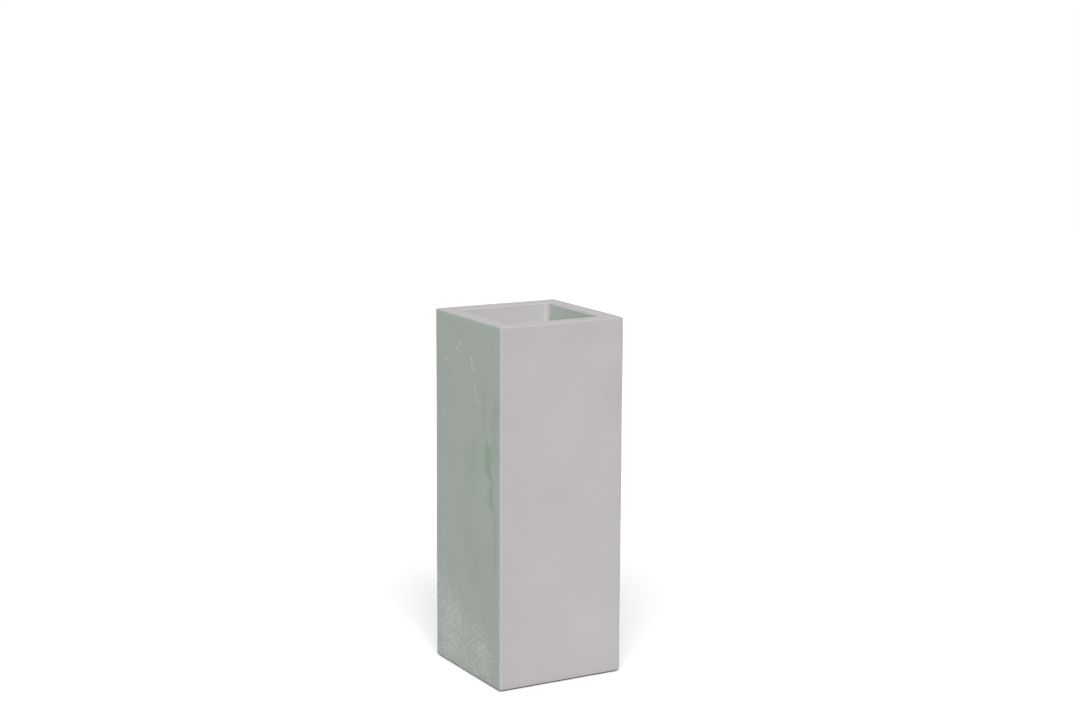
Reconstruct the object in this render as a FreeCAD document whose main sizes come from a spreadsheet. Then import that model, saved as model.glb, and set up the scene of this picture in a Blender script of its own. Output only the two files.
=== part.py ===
"""Tall square fiberglass planter: a double-skinned column with a planting pocket at the top.

Millimetres. The origin is the centre of the footprint on the ground, +Z is up and -Y is the
front. The outer skin is one moulding that rolls in over the top as a flat rim. The inner skin
hangs under that rim as a pocket with a ledge at its foot, and a loose shelf lies on the ledge.
A floor closes the column near the ground and stands on four screwed rubber feet.
"""

import FreeCAD, Part
import math
import os

import Sketcher

DOC = FreeCAD.newDocument("planter")

# Driving dimensions, in millimetres and degrees.
SIZES = {
    "height": 800,
    "side": 304,
    "wall": 4,
    "corner_radius": 4,
    "inside_corner_radius": 8,
    "rim_width": 39,
    "rim_thickness": 7,
    "rim_outer_radius": 3.2,
    "rim_root_bevel": 6,
    "mouth_corner_radius": 12,
    "mouth_edge_radius": 5.8,
    "foot_edge_bevel": 2,
    "ground_gap": 3,
    "pocket_skin": 3,
    "pocket_depth": 300,
    "pocket_flange": 20,
    "pocket_draft": 1,
    "ledge_width": 18,
    "ledge_thickness": 4,
    "spacer_length": 120,
    "spacer_height": 40,
    "spacer_drop": 10,
    "shelf_side": 212,
    "shelf_thickness": 8,
    "shelf_bevel": 2,
    "finger_slot_length": 90,
    "finger_slot_width": 28,
    "finger_slot_radius": 12,
    "shelf_drain_diameter": 16,
    "shelf_drain_offset": 70,
    "floor_thickness": 6,
    "floor_corner_radius": 12,
    "drain_diameter": 25,
    "bond_width": 12,
    "bond_lip": 1,
    "block_side": 50,
    "block_thickness": 18,
    "block_corner_cut": 9,
    "foot_height": 15,
    "foot_radius": 19,
    "foot_hole_radius": 2.75,
    "foot_recess_radius": 8,
    "foot_recess_depth": 8,
    "washer_radius": 6.5,
    "washer_thickness": 1.2,
    "screw_radius": 2.5,
    "screw_clearance": 0.05,
    "screw_head_radius": 4.75,
    "screw_head_height": 3.4,
    "screw_length": 24,
    "plug_clearance": 0.08,
    "plug_flange_radius": 19,
    "plug_flange_thickness": 4,
    "plug_nose": 6,
    "plug_neck_radius": 4.5,
    "plug_neck_height": 6,
    "plug_knob_radius": 8,
    "plug_knob_height": 8,
}

# Sizes and levels that follow from the driving dimensions.
INNER_SIDE = "(Sizes.side - 2 * Sizes.wall)"
MOUTH_SIDE = "(Sizes.side - 2 * Sizes.rim_width)"
RIM_UNDERSIDE = "(Sizes.height - Sizes.rim_thickness)"
POCKET_FOOT = f"({RIM_UNDERSIDE} - Sizes.pocket_depth)"
LEDGE_TOP = f"({POCKET_FOOT} + Sizes.ledge_thickness)"
DRAFT = "tan(Sizes.pocket_draft * 1 deg)"
POCKET_FOOT_SIDE = f"({MOUTH_SIDE} - 2 * Sizes.pocket_depth * {DRAFT})"
LEDGE_TOP_SIDE = f"({POCKET_FOOT_SIDE} + 2 * Sizes.ledge_thickness * {DRAFT})"
LEDGE_MOUTH_SIDE = f"({POCKET_FOOT_SIDE} - 2 * Sizes.ledge_width)"
BLOCK_FOOT = "Sizes.foot_height"
FLOOR_FOOT = f"({BLOCK_FOOT} + Sizes.block_thickness)"
FLOOR_TOP = f"({FLOOR_FOOT} + Sizes.floor_thickness)"
FOOT_OFFSET = f"({INNER_SIDE} / 2 - Sizes.block_side / 2)"

# The four corners, with the quarter turns that take the back right corner to each.
CORNERS = {"back_right": 0, "back_left": 1, "front_left": 2, "front_right": 3}
# The four sides, with the quarter turns that take the right side to each.
SIDES = {"right": 0, "back": 1, "left": 2, "front": 3}


def make_sheet():
    """The sheet of driving dimensions, one row each: a name and its value."""
    sheet = DOC.addObject("Spreadsheet::Sheet", "Sizes")
    for row, (name, size) in enumerate(SIZES.items(), start=1):
        sheet.set(f"A{row}", name)
        sheet.set(f"B{row}", str(size))
        sheet.setAlias(f"B{row}", name)
    DOC.recompute()
    return sheet


SHEET = make_sheet()


def value(expression):
    """The number that an expression on the sheet gives."""
    result = SHEET.evalExpression(expression)
    return float(getattr(result, "Value", result))


def new_body(name):
    body = DOC.addObject("PartDesign::Body", name)
    body.Label = name
    return body


def origin_plane(body, role):
    return next(item for item in body.Origin.OriginFeatures if item.Role == role)


def new_sketch(body, name, role, offset=None):
    """A sketch on one of the body's own planes, moved by expressions along its x, y and z."""
    sketch = body.newObject("Sketcher::SketchObject", f"{body.Label}_{name}")
    sketch.AttachmentSupport = [(origin_plane(body, role), "")]
    sketch.MapMode = "FlatFace"
    for axis, expression in (offset or {}).items():
        sketch.setExpression(f"AttachmentOffset.Base.{axis}", expression)
    return sketch


def dimension(sketch, name, expression, *constraint):
    """A dimensional constraint whose size follows an expression."""
    index = sketch.addConstraint(Sketcher.Constraint(*constraint, value(expression)))
    sketch.renameConstraint(index, name)
    sketch.setExpression(f"Constraints.{name}", expression)


def rounded_rectangle(body, name, level, width, depth, radius):
    """A level rectangle with rounded corners, centred on the column's axis."""
    sketch = new_sketch(body, name, "XY_Plane", {"z": level})
    x, y, r = value(width) / 2, value(depth) / 2, value(radius)
    corners = [(x - r, y - r), (r - x, y - r), (r - x, r - y), (x - r, r - y)]
    for quarter, (cx, cy) in enumerate(corners):
        circle = Part.Circle(FreeCAD.Vector(cx, cy, 0), FreeCAD.Vector(0, 0, 1), r)
        start = quarter * math.pi / 2
        sketch.addGeometry(Part.ArcOfCircle(circle, start, start + math.pi / 2))
    arcs = sketch.Geometry[:4]
    for quarter in range(4):
        begin = arcs[quarter].EndPoint
        end = arcs[(quarter + 1) % 4].StartPoint
        sketch.addGeometry(Part.LineSegment(begin, end))
    for quarter in range(4):
        line = 4 + quarter
        after = (quarter + 1) % 4
        sketch.addConstraint(Sketcher.Constraint("Tangent", quarter, 2, line, 1))
        sketch.addConstraint(Sketcher.Constraint("Tangent", line, 2, after, 1))
        sketch.addConstraint(Sketcher.Constraint("Horizontal" if quarter % 2 == 0 else "Vertical", line))
    for quarter in range(1, 4):
        sketch.addConstraint(Sketcher.Constraint("Equal", 0, quarter))
    sketch.addConstraint(Sketcher.Constraint("Symmetric", 0, 3, 2, 3, -1, 1))
    dimension(sketch, "radius", radius, "Radius", 0)
    dimension(sketch, "width", width, "DistanceX", 5, 1, 7, 1)
    dimension(sketch, "depth", depth, "DistanceY", 6, 1, 4, 1)
    return sketch


def rounded_square(body, name, level, side, radius):
    return rounded_rectangle(body, name, level, side, side, radius)


def profile(body, name, role, points, offset=None):
    """A closed outline of straight lines through points, each given as two expressions."""
    sketch = new_sketch(body, name, role, offset)
    places = [FreeCAD.Vector(value(a), value(b), 0) for a, b in points]
    count = len(points)
    for index in range(count):
        sketch.addGeometry(Part.LineSegment(places[index], places[(index + 1) % count]))
    for index in range(count):
        after = (index + 1) % count
        sketch.addConstraint(Sketcher.Constraint("Coincident", index, 2, after, 1))
    for index, (across, along) in enumerate(points):
        if across == "0":
            sketch.addConstraint(Sketcher.Constraint("PointOnObject", index, 1, -2))
        else:
            dimension(sketch, f"across{index}", across, "DistanceX", -1, 1, index, 1)
        if along == "0":
            sketch.addConstraint(Sketcher.Constraint("PointOnObject", index, 1, -1))
        else:
            dimension(sketch, f"along{index}", along, "DistanceY", -1, 1, index, 1)
    return sketch


def feature(body, kind, name, **settings):
    """Adds a feature to the body, binds its text settings to the sheet and rebuilds it."""
    item = body.newObject(f"PartDesign::{kind}", f"{body.Label}_{name}")
    for setting, content in settings.items():
        if isinstance(content, str):
            item.setExpression(setting, content)
        else:
            setattr(item, setting, content)
    DOC.recompute()
    body.Tip = item
    return item


def pad(body, name, sketch, length, **settings):
    return feature(body, "Pad", name, Profile=sketch, Length=length, **settings)


def cut(body, name, sketch, length, **settings):
    """A pocket below its sketch, or above it if reversed, that has to take material away."""
    before = body.Tip.Shape.Volume
    item = feature(body, "Pocket", name, Profile=sketch, Length=length, **settings)
    if item.Shape.Volume > before - 1:
        raise RuntimeError(f"{item.Label} cuts nothing")
    return item


def revolve(body, name, sketch):
    return feature(body, "Revolution", name, Profile=sketch, ReferenceAxis=(sketch, ["V_Axis"]),
                   Angle=360.0)


def edges_where(item, wanted):
    """The names of a feature's edges whose middle passes the test."""
    names = []
    for number, edge in enumerate(item.Shape.Edges, start=1):
        middle = edge.valueAt((edge.FirstParameter + edge.LastParameter) / 2)
        if wanted(edge, middle):
            names.append(f"Edge{number}")
    return names


def reach(point):
    """How far a point stands out from the axis along X or Y, whichever is more."""
    return max(abs(point.x), abs(point.y))


def near(first, second):
    return abs(first - second) < 0.01


def level_edges(item, level, least=0.0, most=1000.0):
    """The edges that lie flat at a level, between two distances out from the axis."""
    height = value(level)

    def wanted(edge, middle):
        flat = near(edge.BoundBox.ZMin, height) and near(edge.BoundBox.ZMax, height)
        return flat and least < reach(middle) < most

    return edges_where(item, wanted)


def ring_edges(item, level, side, corner_radius):
    """The edges of a level rounded square, straight runs and corners alike."""
    half = value(side) / 2
    corner_reach = half - value(corner_radius) * (1 - math.cos(math.pi / 4))
    return level_edges(item, level, corner_reach - 0.01, half + 0.01)


def round_edges(body, name, names, radius):
    return feature(body, "Fillet", name, Base=(body.Tip, names), Radius=radius)


def bevel_edges(body, name, names, size):
    return feature(body, "Chamfer", name, Base=(body.Tip, names), Size=size)


def quarter_turns(count):
    return FreeCAD.Placement(FreeCAD.Vector(), FreeCAD.Rotation(FreeCAD.Vector(0, 0, 1), 90 * count))


def make_outer_shell():
    """The outer moulding: four walls that roll in over the top as a flat rim round the mouth."""
    body = new_body("outer_shell")
    outline = rounded_square(body, "outline", "Sizes.ground_gap", "Sizes.side", "Sizes.corner_radius")
    pad(body, "column", outline, "Sizes.height - Sizes.ground_gap")
    hollow = rounded_square(body, "hollow", "Sizes.ground_gap", INNER_SIDE, "Sizes.inside_corner_radius")
    cut(body, "walls", hollow, f"{RIM_UNDERSIDE} - Sizes.ground_gap", Reversed=True)
    mouth = rounded_square(body, "mouth", "Sizes.height", MOUTH_SIDE, "Sizes.mouth_corner_radius")
    cut(body, "rim", mouth, "Sizes.rim_thickness")
    outer_top = ring_edges(body.Tip, "Sizes.height", "Sizes.side", "Sizes.corner_radius")
    round_edges(body, "rim_outer", outer_top, "Sizes.rim_outer_radius")
    mouth_top = ring_edges(body.Tip, "Sizes.height", MOUTH_SIDE, "Sizes.mouth_corner_radius")
    round_edges(body, "rim_inner", mouth_top, "Sizes.mouth_edge_radius")
    root = ring_edges(body.Tip, RIM_UNDERSIDE, INNER_SIDE, "Sizes.inside_corner_radius")
    bevel_edges(body, "rim_root", root, "Sizes.rim_root_bevel")
    trimmed = ring_edges(body.Tip, "Sizes.ground_gap", "Sizes.side", "Sizes.corner_radius")
    bevel_edges(body, "foot", trimmed, "Sizes.foot_edge_bevel")
    return body


def make_inner_pocket():
    """The inner moulding: drafted walls, a flange bonded under the rim and a ledge at the foot."""
    body = new_body("inner_pocket")
    skin = "2 * Sizes.pocket_skin"
    outer_radius = "Sizes.mouth_corner_radius + Sizes.pocket_skin"
    outer_foot = rounded_square(body, "outer_foot", POCKET_FOOT, f"{POCKET_FOOT_SIDE} + {skin}", outer_radius)
    outer_top = rounded_square(body, "outer_top", RIM_UNDERSIDE, f"{MOUTH_SIDE} + {skin}", outer_radius)
    feature(body, "AdditiveLoft", "skin", Profile=outer_foot, Sections=[outer_top], Ruled=True)
    flange = rounded_square(body, "flange_outline", RIM_UNDERSIDE,
                            f"{MOUTH_SIDE} + 2 * Sizes.pocket_flange",
                            "Sizes.mouth_corner_radius + Sizes.pocket_flange")
    pad(body, "flange", flange, "Sizes.pocket_skin", Reversed=True)
    inner_foot = rounded_square(body, "inner_foot", LEDGE_TOP, LEDGE_TOP_SIDE, "Sizes.mouth_corner_radius")
    inner_top = rounded_square(body, "inner_top", RIM_UNDERSIDE, MOUTH_SIDE, "Sizes.mouth_corner_radius")
    feature(body, "SubtractiveLoft", "hollow", Profile=inner_foot, Sections=[inner_top], Ruled=True)
    ledge = rounded_square(body, "ledge_outline", LEDGE_TOP, LEDGE_MOUTH_SIDE,
                           "Sizes.mouth_corner_radius")
    cut(body, "ledge_mouth", ledge, "Sizes.ledge_thickness")
    return body


def make_pocket_spacer(name, turns):
    """A block bonded between the two skins. Its inner face leans as much as the pocket's wall."""
    body = new_body(name)
    low = f"({POCKET_FOOT} + Sizes.spacer_drop)"
    high = f"({low} + Sizes.spacer_height)"
    outer = f"({INNER_SIDE} / 2)"

    def pocket_wall(level):
        return f"({MOUTH_SIDE} / 2 + Sizes.pocket_skin - ({RIM_UNDERSIDE} - {level}) * {DRAFT})"

    section = profile(body, "section", "XZ_Plane", [
        (pocket_wall(low), low),
        (outer, low),
        (outer, high),
        (pocket_wall(high), high),
    ])
    pad(body, "block", section, "Sizes.spacer_length", Midplane=True)
    body.Placement = quarter_turns(turns)
    return body


def make_insert_shelf():
    """The loose shelf: a flat plate with a finger slot and four drain holes, bevelled to drop in."""
    body = new_body("insert_shelf")
    plate = rounded_square(body, "outline", LEDGE_TOP, "Sizes.shelf_side", "Sizes.mouth_corner_radius")
    pad(body, "plate", plate, "Sizes.shelf_thickness")
    shelf_top = f"({LEDGE_TOP} + Sizes.shelf_thickness)"
    bevel_edges(body, "foot_bevel", level_edges(body.Tip, LEDGE_TOP), "Sizes.shelf_bevel")
    slot = rounded_rectangle(body, "slot_outline", shelf_top, "Sizes.finger_slot_length",
                             "Sizes.finger_slot_width", "Sizes.finger_slot_radius")
    cut(body, "finger_slot", slot, "Sizes.shelf_thickness")
    drain = new_sketch(body, "drain_outline", "XY_Plane", {"z": shelf_top})
    place = value("Sizes.shelf_drain_offset")
    drain.addGeometry(Part.Circle(FreeCAD.Vector(place, place, 0), FreeCAD.Vector(0, 0, 1),
                                  value("Sizes.shelf_drain_diameter / 2")))
    dimension(drain, "across", "Sizes.shelf_drain_offset", "DistanceX", -1, 1, 0, 3)
    dimension(drain, "along", "Sizes.shelf_drain_offset", "DistanceY", -1, 1, 0, 3)
    dimension(drain, "drain", "Sizes.shelf_drain_diameter", "Diameter", 0)
    hole = cut(body, "drain_hole", drain, "Sizes.shelf_thickness")
    feature(body, "PolarPattern", "drain_holes", Originals=[hole], Occurrences=4, Angle=360.0,
            Axis=(drain, ["N_Axis"]))
    return body


def make_base_panel():
    """The floor of the column, with its drain hole in the middle."""
    body = new_body("base_panel")
    outline = rounded_square(body, "outline", FLOOR_FOOT, INNER_SIDE, "Sizes.floor_corner_radius")
    pad(body, "panel", outline, "Sizes.floor_thickness")
    drain = new_sketch(body, "drain_outline", "XY_Plane", {"z": FLOOR_TOP})
    drain.addGeometry(Part.Circle(FreeCAD.Vector(), FreeCAD.Vector(0, 0, 1),
                                  value("Sizes.drain_diameter / 2")))
    drain.addConstraint(Sketcher.Constraint("Coincident", 0, 3, -1, 1))
    dimension(drain, "drain", "Sizes.drain_diameter", "Diameter", 0)
    cut(body, "drain_hole", drain, "Sizes.floor_thickness")
    return body


def make_base_bond_fillet():
    """The ring of bonding paste in the corner between the floor and the walls."""
    body = new_body("base_bond_fillet")
    outline = rounded_square(body, "outline", FLOOR_TOP, INNER_SIDE, "Sizes.inside_corner_radius")
    pad(body, "ring", outline, "Sizes.bond_width")
    toe = rounded_square(body, "toe", FLOOR_TOP, f"{INNER_SIDE} - 2 * Sizes.bond_width",
                         "Sizes.inside_corner_radius")
    crest = rounded_square(body, "crest", f"{FLOOR_TOP} + Sizes.bond_width",
                           f"{INNER_SIDE} - 2 * Sizes.bond_lip",
                           "Sizes.inside_corner_radius + Sizes.bond_width - Sizes.bond_lip")
    feature(body, "SubtractiveLoft", "slope", Profile=toe, Sections=[crest], Ruled=True)
    return body


def make_corner_block(name, turns):
    """A plywood block under the floor, cut across its outer corner to clear the shell's radius."""
    body = new_body(name)
    outer = f"({INNER_SIDE} / 2)"
    inner = f"({outer} - Sizes.block_side)"
    cut_back = f"({outer} - Sizes.block_corner_cut)"
    outline = profile(body, "outline", "XY_Plane", [
        (inner, inner),
        (outer, inner),
        (outer, cut_back),
        (cut_back, outer),
        (inner, outer),
    ], {"z": BLOCK_FOOT})
    pad(body, "block", outline, "Sizes.block_thickness")
    pilot = new_sketch(body, "pilot_outline", "XY_Plane", {"z": BLOCK_FOOT})
    place = value(FOOT_OFFSET)
    radius = "Sizes.screw_radius + Sizes.screw_clearance"
    pilot.addGeometry(Part.Circle(FreeCAD.Vector(place, place, 0), FreeCAD.Vector(0, 0, 1), value(radius)))
    dimension(pilot, "across", FOOT_OFFSET, "DistanceX", -1, 1, 0, 3)
    dimension(pilot, "along", FOOT_OFFSET, "DistanceY", -1, 1, 0, 3)
    dimension(pilot, "pilot", radius, "Radius", 0)
    cut(body, "pilot_hole", pilot, "Sizes.block_thickness", Reversed=True)
    body.Placement = quarter_turns(turns)
    return body


def foot_axis():
    """The sketch offset that stands an upright profile's axis on the back right foot."""
    return {"x": FOOT_OFFSET, "z": f"-{FOOT_OFFSET}"}


def make_rubber_foot(name, turns):
    """A round rubber foot with a recess below for the screw's head and its washer."""
    body = new_body(name)
    half = profile(body, "half", "XZ_Plane", [
        ("Sizes.foot_recess_radius", "0"),
        ("Sizes.foot_radius", "0"),
        ("Sizes.foot_radius", "Sizes.foot_height"),
        ("Sizes.foot_hole_radius", "Sizes.foot_height"),
        ("Sizes.foot_hole_radius", "Sizes.foot_recess_depth"),
        ("Sizes.foot_recess_radius", "Sizes.foot_recess_depth"),
    ], foot_axis())
    revolve(body, "foot", half)
    body.Placement = quarter_turns(turns)
    return body


def repeat_at_corners(body, half):
    """Turns what the body holds about the column's axis, one to each corner."""
    body.AllowCompound = True
    turned = revolve(body, "one", half)
    upright = origin_plane(body, "Z_Axis")
    feature(body, "PolarPattern", "all", Originals=[turned], Occurrences=4, Angle=360.0,
            Axis=(upright, [""]))
    return body


def make_foot_washers():
    """The four washers, each flat against the roof of its foot's recess."""
    body = new_body("foot_washers")
    low = "(Sizes.foot_recess_depth - Sizes.washer_thickness)"
    half = profile(body, "half", "XZ_Plane", [
        ("Sizes.foot_hole_radius", low),
        ("Sizes.washer_radius", low),
        ("Sizes.washer_radius", "Sizes.foot_recess_depth"),
        ("Sizes.foot_hole_radius", "Sizes.foot_recess_depth"),
    ], foot_axis())
    return repeat_at_corners(body, half)


def make_foot_screws():
    """The four pan head screws that hold the feet to the blocks."""
    body = new_body("foot_screws")
    seat = "(Sizes.foot_recess_depth - Sizes.washer_thickness)"
    half = profile(body, "half", "XZ_Plane", [
        ("0", f"{seat} - Sizes.screw_head_height"),
        ("Sizes.screw_head_radius", f"{seat} - Sizes.screw_head_height"),
        ("Sizes.screw_head_radius", seat),
        ("Sizes.screw_radius", seat),
        ("Sizes.screw_radius", f"{seat} + Sizes.screw_length"),
        ("0", f"{seat} + Sizes.screw_length"),
    ], foot_axis())
    return repeat_at_corners(body, half)


def make_drain_plug():
    """The rubber bung: a nose in the drain hole, a flange on the floor and a knob to pull."""
    body = new_body("drain_plug")
    nose_radius = "(Sizes.drain_diameter / 2 - Sizes.plug_clearance)"
    nose_foot = f"({FLOOR_FOOT} - Sizes.plug_nose)"
    flange_top = f"({FLOOR_TOP} + Sizes.plug_flange_thickness)"
    knob_foot = f"({flange_top} + Sizes.plug_neck_height)"
    knob_top = f"({knob_foot} + Sizes.plug_knob_height)"
    half = profile(body, "half", "XZ_Plane", [
        ("0", nose_foot),
        (nose_radius, nose_foot),
        (nose_radius, FLOOR_TOP),
        ("Sizes.plug_flange_radius", FLOOR_TOP),
        ("Sizes.plug_flange_radius", flange_top),
        ("Sizes.plug_neck_radius", flange_top),
        ("Sizes.plug_neck_radius", knob_foot),
        ("Sizes.plug_knob_radius", knob_foot),
        ("Sizes.plug_knob_radius", knob_top),
        ("0", knob_top),
    ])
    revolve(body, "bung", half)
    return body


def make_planter():
    """Every piece of the planter, in the order in which it is put together."""
    pieces = [make_outer_shell(), make_inner_pocket()]
    pieces += [make_pocket_spacer(f"pocket_spacer_{side}", turns) for side, turns in SIDES.items()]
    pieces += [make_base_panel(), make_base_bond_fillet()]
    pieces += [make_corner_block(f"corner_block_{corner}", turns) for corner, turns in CORNERS.items()]
    pieces += [make_rubber_foot(f"rubber_foot_{corner}", turns) for corner, turns in CORNERS.items()]
    pieces += [make_foot_washers(), make_foot_screws(), make_drain_plug(), make_insert_shelf()]
    DOC.recompute()
    return pieces


def check(pieces):
    """Stops if anything failed to build, or if a piece isn't sound."""
    for item in DOC.Objects:
        if "Invalid" in item.State or "Error" in item.State:
            raise RuntimeError(f"{item.Label} failed: {item.State}")
    for piece in pieces:
        if piece.Shape.isNull() or not piece.Shape.isValid():
            raise RuntimeError(f"{piece.Label} isn't a sound solid")


def export(pieces):
    os.makedirs("parts", exist_ok=True)
    for piece in pieces:
        piece.Shape.exportStep(f"parts/{piece.Label}.step")
        box = piece.Shape.BoundBox
        print(f"{piece.Label}: {len(piece.Shape.Solids)} solid(s), {piece.Shape.Volume / 1000:.1f} cm3, "
              f"{box.XLength:.1f} x {box.YLength:.1f} x {box.ZLength:.1f} mm, from z {box.ZMin:.2f}")


PIECES = make_planter()
check(PIECES)
export(PIECES)
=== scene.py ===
import math

import bmesh
import bpy
from mathutils import Matrix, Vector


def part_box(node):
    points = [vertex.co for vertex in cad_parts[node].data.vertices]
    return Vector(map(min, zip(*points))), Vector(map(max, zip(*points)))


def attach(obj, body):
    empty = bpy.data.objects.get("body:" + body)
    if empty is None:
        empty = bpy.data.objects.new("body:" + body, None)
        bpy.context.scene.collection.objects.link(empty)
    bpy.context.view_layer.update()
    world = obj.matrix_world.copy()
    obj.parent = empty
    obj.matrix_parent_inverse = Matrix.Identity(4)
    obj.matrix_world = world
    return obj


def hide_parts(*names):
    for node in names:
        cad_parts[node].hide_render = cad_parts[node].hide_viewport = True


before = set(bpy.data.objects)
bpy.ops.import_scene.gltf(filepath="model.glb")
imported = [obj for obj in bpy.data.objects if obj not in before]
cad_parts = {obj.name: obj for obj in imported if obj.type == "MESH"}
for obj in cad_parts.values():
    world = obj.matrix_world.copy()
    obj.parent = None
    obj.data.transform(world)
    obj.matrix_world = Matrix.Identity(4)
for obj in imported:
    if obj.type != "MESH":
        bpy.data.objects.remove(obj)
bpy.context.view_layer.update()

# ---------------------------------------------------------------------------------------------
# The camera
# A long lens at tripod height, looking down ten degrees on the corner between the lit front
# and the shaded left side.
# ---------------------------------------------------------------------------------------------

camera = bpy.data.objects.new("camera", bpy.data.cameras.new("camera"))
bpy.context.scene.collection.objects.link(camera)
camera.data.sensor_width = 36.0
camera.data.lens = 70.554
camera_place = Matrix.Translation((-2.2364, -4.0071, 1.5106))
camera_turn = Matrix.Rotation(math.radians(-29.489), 4, "Z")
camera_dip = Matrix.Rotation(math.radians(79.938), 4, "X")
camera_roll = Matrix.Rotation(math.radians(0.284), 4, "Z")
camera.matrix_world = camera_place @ camera_turn @ camera_dip @ camera_roll
bpy.context.scene.camera = camera
bpy.context.scene.view_settings.view_transform = "Standard"

# ---------------------------------------------------------------------------------------------
# The studio
# One broad soft lamp from the front left, a white room that is brighter behind the planter, and a
# white floor that takes its shadow. The shader helpers of all finishes are defined here.
# ---------------------------------------------------------------------------------------------


class Shade:
    """A shader socket in a Python expression: an operator adds the Math node that works it out."""

    def __init__(self, finish, socket):
        self.finish = finish
        self.socket = socket

    def maths(self, operation, *terms):
        """Adds a Math node with these terms, which are sockets or plain numbers."""
        return self.finish.node("ShaderNodeMath", {"operation": operation}, dict(enumerate(terms)))

    def __add__(self, other):
        return self.maths("ADD", self, other)

    def __sub__(self, other):
        return self.maths("SUBTRACT", self, other)

    def __rsub__(self, other):
        return self.maths("SUBTRACT", other, self)

    def __mul__(self, other):
        return self.maths("MULTIPLY", self, other)

    def __truediv__(self, other):
        return self.maths("DIVIDE", self, other)

    def __abs__(self):
        return self.maths("ABSOLUTE", self)

    __radd__ = __add__
    __rmul__ = __mul__


class Finish:
    """A material, or the room's light, whose nodes are added by expressions."""

    def __init__(self, owner):
        owner.use_nodes = True
        self.owner = owner
        self.tree = owner.node_tree
        self.tree.nodes.clear()

    def node(self, kind, settings=None, inputs=None, output=0):
        """Adds a node, gives it its settings, then its values and links, and returns an output."""
        made = self.tree.nodes.new(kind)
        for name, setting in (settings or {}).items():
            setattr(made, name, setting)
        for place, given in (inputs or {}).items():
            if isinstance(given, Shade):
                self.tree.links.new(given.socket, made.inputs[place])
            else:
                made.inputs[place].default_value = given
        return Shade(self, made.outputs[output]) if made.outputs else None

    def point(self):
        """The point on the piece, in the planter's own frame."""
        return self.node("ShaderNodeTexCoord", output="Object")

    def parts(self, vector):
        """The x, y and z of a vector."""
        return [self.node("ShaderNodeSeparateXYZ", inputs={0: vector}, output=axis) for axis in "XYZ"]

    def facing(self):
        """The x, y and z of the surface's own direction."""
        return self.parts(self.node("ShaderNodeTexCoord", output="Normal"))

    def stretched(self, point, across, deep, high, turn=(0.0, 0.0, 0.0)):
        """The point turned, then scaled along each axis, to draw a pattern out."""
        turned = self.node("ShaderNodeMapping", inputs={0: point, "Rotation": turn})
        return self.node("ShaderNodeMapping", inputs={0: turned, "Scale": (across, deep, high)})

    def noise(self, point, size, detail=2.0, roughness=0.5):
        """Cloudy noise between 0 and 1, with blotches of about a size in metres."""
        return self.node("ShaderNodeTexNoise", inputs={
            "Vector": point, "Scale": 1.0 / size, "Detail": detail, "Roughness": roughness})

    def ease(self, value, start, end):
        """Goes smoothly from 0 to 1 while the value goes from start to end."""
        return self.node("ShaderNodeMapRange", {"interpolation_type": "SMOOTHSTEP"}, {
            "Value": value, "From Min": start, "From Max": end, "To Min": 0.0, "To Max": 1.0})

    def mix(self, amount, first, second):
        """A colour between two others, by an amount from 0 to 1."""
        colours = {0: amount, 6: first, 7: second}
        return self.node("ShaderNodeMix", {"data_type": "RGBA"}, colours, output=2)

    def bump(self, height, depth):
        """The surface's direction, roughened by a height from 0 to 1 that stands for a depth."""
        return self.node("ShaderNodeBump", inputs={"Height": height, "Distance": depth, "Strength": 1.0})

    def surface(self, shader):
        """Ends the material in a shader."""
        self.node("ShaderNodeOutputMaterial", inputs={"Surface": shader})
        return self.owner


room = Finish(bpy.data.worlds.new("room"))
bpy.context.scene.world = room.owner
seen_rays = ("Is Camera Ray", "Is Glossy Ray", "Is Transmission Ray")
camera_ray, glossy_ray, clear_ray = [room.node("ShaderNodeLightPath", output=ray) for ray in seen_rays]
rays = camera_ray + glossy_ray + clear_ray
seen = rays.maths("MINIMUM", rays, 1.0)
direction = room.node("ShaderNodeTexCoord", output="Generated")
behind = (0.67, 0.74, 0.0)
light_in_front = 0.33
more_light_behind = 0.85
toward_back = room.node("ShaderNodeVectorMath", {"operation": "DOT_PRODUCT"},
                        {0: direction, 1: behind}, output="Value")
room_light = light_in_front + room.ease(toward_back, 0.0, 1.0) * more_light_behind
room_brightness = seen + (1.0 - seen) * room_light
backdrop = room.node("ShaderNodeBackground", inputs={"Color": (1.0, 1.0, 1.0, 1.0),
                                                     "Strength": room_brightness})
room.node("ShaderNodeOutputWorld", inputs={"Surface": backdrop})

lamp = bpy.data.objects.new("soft_lamp", bpy.data.lights.new("soft_lamp", "SUN"))
bpy.context.scene.collection.objects.link(lamp)
lamp.data.energy = 3.0
lamp.data.angle = math.radians(50.0)
lamp_azimuth = math.radians(-27.6)
lamp_height = math.radians(42.4)
lamp.rotation_euler = (math.pi / 2 - lamp_height, 0.0, lamp_azimuth)

floor_reach = 9.0
bpy.ops.mesh.primitive_circle_add(vertices=96, radius=floor_reach, fill_type="NGON")
floor = bpy.context.object
floor.name = "studio_floor"
floor_finish = Finish(bpy.data.materials.new("studio_floor"))
floor_seen = floor_finish.node("ShaderNodeLightPath", output="Is Camera Ray")
floor_to_light = (0.36, 0.36, 0.36, 1.0)
floor_to_camera = (0.99, 0.99, 0.99, 1.0)
floor_colour = floor_finish.mix(floor_seen, floor_to_light, floor_to_camera)
floor.data.materials.append(floor_finish.surface(
    floor_finish.node("ShaderNodeBsdfDiffuse", inputs={"Color": floor_colour})))

# ---------------------------------------------------------------------------------------------
# Outer shell
# One hand-laid fiberglass moulding, four walls that roll in over the top as a flat rim. It is
# finished in a matt warm grey gelcoat that the weather has marked, most of all on the left side,
# whose faces also carry a painted green shade tint.
# ---------------------------------------------------------------------------------------------

corner_steps = 6
near = 1e-5


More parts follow.
